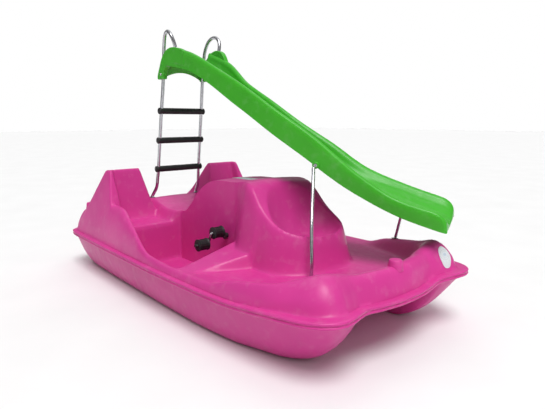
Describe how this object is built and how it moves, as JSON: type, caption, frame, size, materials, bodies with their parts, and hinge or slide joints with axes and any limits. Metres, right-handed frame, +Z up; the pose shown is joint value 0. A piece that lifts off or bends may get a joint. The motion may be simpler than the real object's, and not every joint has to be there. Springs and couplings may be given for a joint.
{
  "type": "pedal boat",
  "caption": "Twin-pontoon pedal boat with moulded seats, paddle-wheel drive, rudder steering, ladder and curved slide.",
  "frame": {"origin": "middle of the bounding box's base, on the plane that both keels rest on", "axes": "+X towards the bow, +Y to port, +Z up"},
  "size_m": [3.3799, 1.77, 2.156],
  "materials": {
    "pink_shell": "satin moulded polyethylene, magenta pink",
    "green_chute": "satin moulded polyethylene, bright green",
    "stainless_tube": "polished bright tube",
    "drive_steel": "plain stainless bar",
    "black_plastic": "moulded black plastic",
    "black_grip": "textured black plastic grip",
    "pale_badge": "blank pale sticker",
    "foam": "closed-cell buoyancy foam"
  },
  "bodies": {
    "boat": {"bow_badge": "pale_badge", "bow_cap": "pink_shell", "chute_bolt_port": "stainless_tube", "chute_bolt_starboard": "stainless_tube", "console_badge": "pale_badge", "crank_bush_port": "black_plastic", "crank_bush_starboard": "black_plastic", "deck_shell": "pink_shell", "drain_plug_port": "black_plastic", "drain_plug_starboard": "black_plastic", "foam_block_port": "foam", "foam_block_starboard": "foam", "hull_shell": "pink_shell", "ladder_foot_port": "stainless_tube", "ladder_foot_starboard": "stainless_tube", "ladder_rail_port": "stainless_tube", "ladder_rail_starboard": "stainless_tube", "ladder_rung_1": "black_grip", "ladder_rung_2": "black_grip", "ladder_rung_3": "black_grip", "lever_bush": "black_plastic", "rim_joint_strip": "pink_shell", "rudder_bush": "black_plastic", "slide_chute": "green_chute", "slide_strut_port": "stainless_tube", "slide_strut_starboard": "stainless_tube", "stern_cap_port": "pink_shell", "stern_cap_starboard": "pink_shell", "strut_plate_port": "stainless_tube", "strut_plate_starboard": "stainless_tube"},
    "crank": {"crankshaft": "drive_steel", "paddle_hub": "drive_steel", "paddle_blade_1": "black_plastic", "paddle_blade_2": "black_plastic", "paddle_blade_3": "black_plastic", "paddle_blade_4": "black_plastic", "paddle_blade_5": "black_plastic", "paddle_blade_6": "black_plastic", "pedal_cap_starboard": "black_grip", "pedal_cap_port": "black_grip"},
    "pedal_starboard_inner": {"pedal_starboard_inner": "black_grip"},
    "pedal_starboard_outer": {"pedal_starboard_outer": "black_grip"},
    "pedal_port_inner": {"pedal_port_inner": "black_grip"},
    "pedal_port_outer": {"pedal_port_outer": "black_grip"},
    "steering_lever": {"steering_stem": "drive_steel", "steering_knob": "black_grip", "steering_arm": "drive_steel"},
    "steering_rod": {"steering_rod": "drive_steel"},
    "rudder": {"rudder_stock": "drive_steel", "rudder_blade": "black_plastic", "rudder_tiller": "drive_steel"}
  },
  "joints": [
    {"name": "crank_spin", "type": "hinge", "parent": "boat", "child": "crank", "pos_m": [0.154, 0, 0.502], "axis": [0, 1, 0], "continuous": true},
    {"name": "pedal_starboard_inner_spin", "type": "hinge", "parent": "crank", "child": "pedal_starboard_inner", "pos_m": [0.17, -0.345, 0.544], "axis": [0, 1, 0], "continuous": true},
    {"name": "pedal_starboard_outer_spin", "type": "hinge", "parent": "crank", "child": "pedal_starboard_outer", "pos_m": [0.138, -0.462, 0.46], "axis": [0, 1, 0], "continuous": true},
    {"name": "pedal_port_inner_spin", "type": "hinge", "parent": "crank", "child": "pedal_port_inner", "pos_m": [0.138, 0.345, 0.46], "axis": [0, 1, 0], "continuous": true},
    {"name": "pedal_port_outer_spin", "type": "hinge", "parent": "crank", "child": "pedal_port_outer", "pos_m": [0.17, 0.462, 0.544], "axis": [0, 1, 0], "continuous": true},
    {"name": "lever_turn", "type": "hinge", "parent": "boat", "child": "steering_lever", "pos_m": [-0.58, 0, 0.6], "axis": [0, 0, 1], "range_deg": [-40, 40]},
    {"name": "rod_slide", "type": "slide", "parent": "boat", "child": "steering_rod", "axis": [1, 0, 0], "range_m": [-0.043, 0.043]},
    {"name": "rudder_turn", "type": "hinge", "parent": "boat", "child": "rudder", "pos_m": [-1.45, 0, 0.2], "axis": [0, 0, 1], "range_deg": [-41, 41]}
  ],
  "couplings": [
    {"joint": "rod_slide", "follows": "lever_turn", "m_per_rad": -0.06},
    {"joint": "rudder_turn", "follows": "lever_turn", "ratio": 1}
  ]
}
